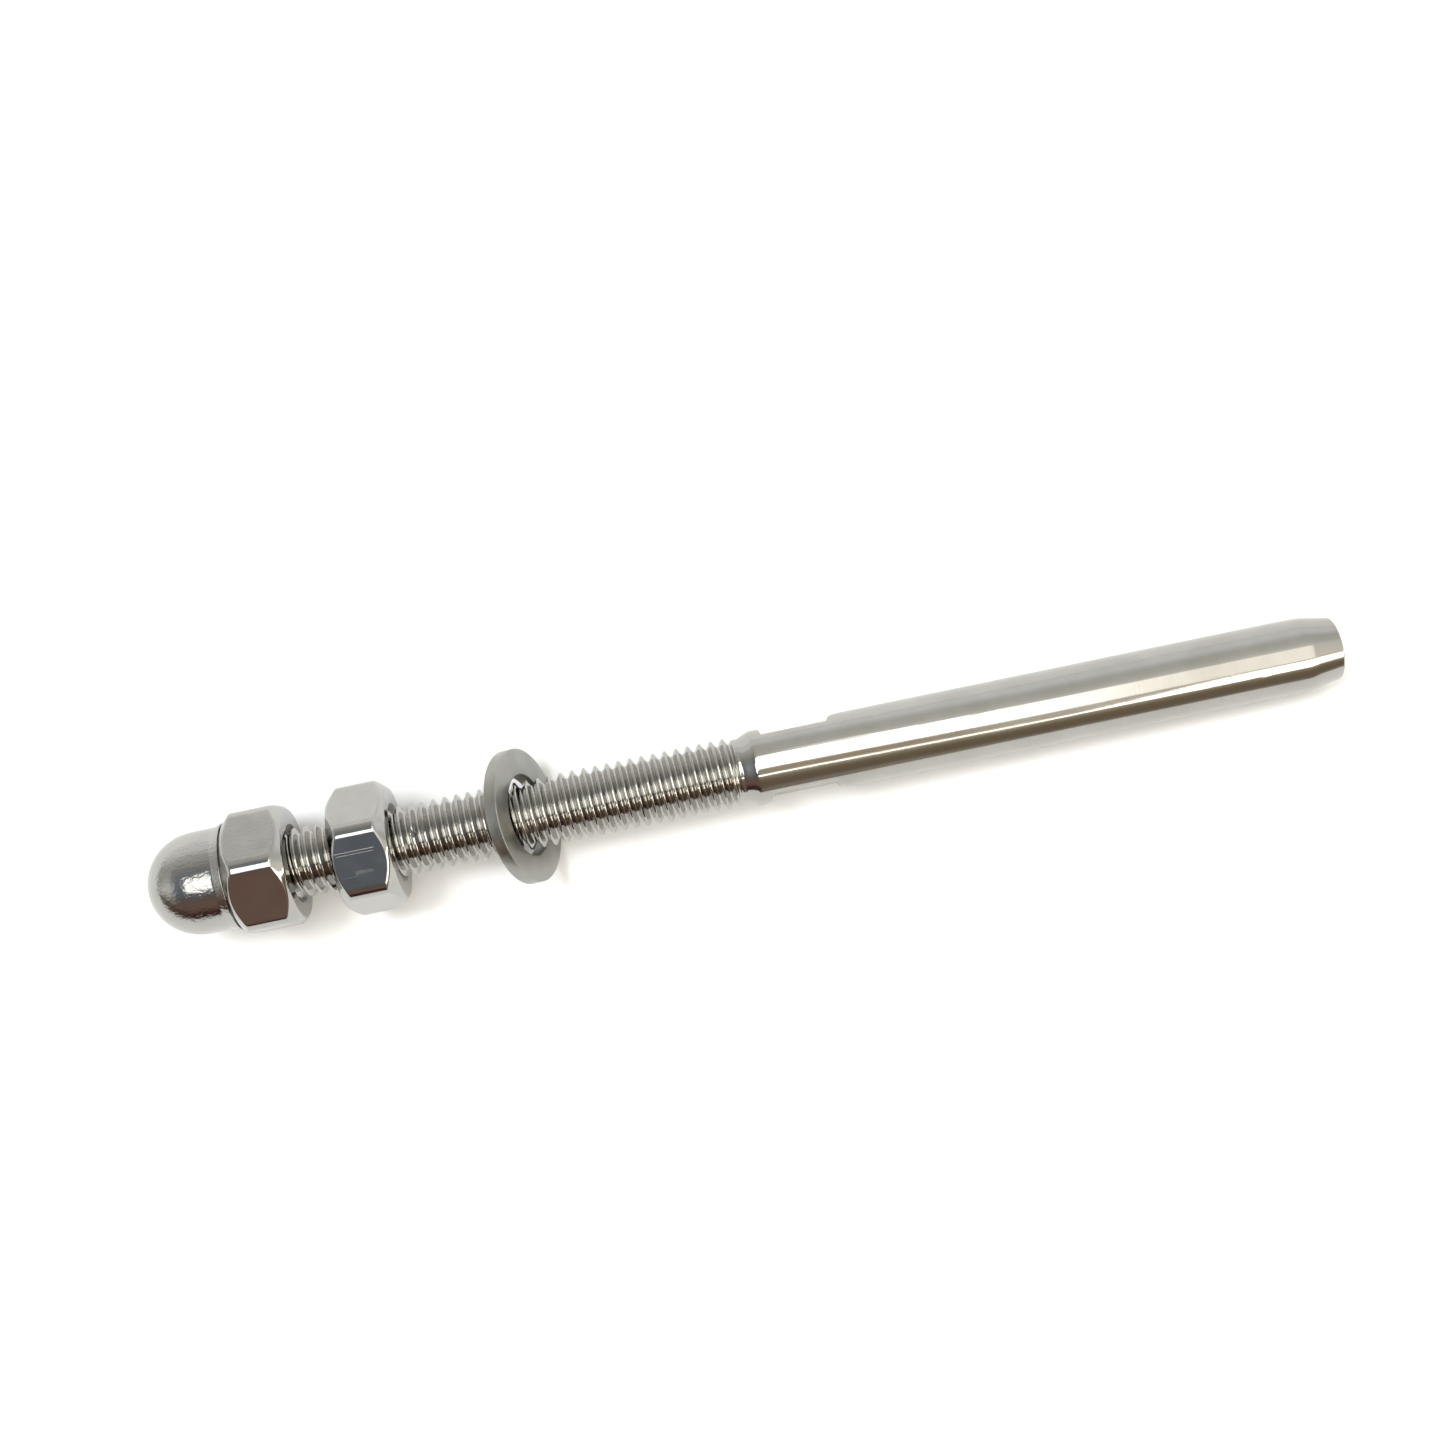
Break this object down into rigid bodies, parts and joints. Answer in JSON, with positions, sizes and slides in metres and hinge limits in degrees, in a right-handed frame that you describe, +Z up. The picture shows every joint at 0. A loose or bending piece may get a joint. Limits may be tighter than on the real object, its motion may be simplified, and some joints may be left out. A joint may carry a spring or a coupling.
{
  "type": "threaded swage stud terminal",
  "caption": "Stainless swage stud: a threaded rod turned in one with a smooth wire sleeve, carrying a dome nut, a hex nut and a loose flat washer, lying on its side.",
  "frame": {"origin": "centre of the bottom of the whole part's box, on the level of the washer's lowest point", "axes": "+X along the stud towards the open mouth of the sleeve, +Z up, +Y across"},
  "size_m": [0.1026, 0.0116, 0.0112],
  "materials": {
    "polished_stainless": "turned and polished stainless steel, fine lines round the sleeve, rolled thread slightly duller",
    "nut_stainless": "polished stainless steel with short handling scratches and soft bright edges",
    "washer_stainless": "satin stamped stainless steel, one edge rolled over by the punch"
  },
  "bodies": {
    "stud": {"swage_stud": "polished_stainless"},
    "hex_nut": {"hex_nut": "nut_stainless"},
    "dome_nut": {"dome_nut": "nut_stainless"},
    "washer": {"flat_washer": "washer_stainless"}
  },
  "joints": [
    {"name": "dome_nut_travel", "type": "slide", "parent": "stud", "child": "dome_nut", "axis": [1, 0, 0], "range_m": [-0.007, 0.001]},
    {"name": "hex_nut_travel", "type": "slide", "parent": "stud", "child": "hex_nut", "axis": [1, 0, 0], "range_m": [-0.002, 0.012]},
    {"name": "washer_slide", "type": "slide", "parent": "hex_nut", "child": "washer", "axis": [1, 0, 0], "range_m": [-0.007, 0.003]}
  ]
}
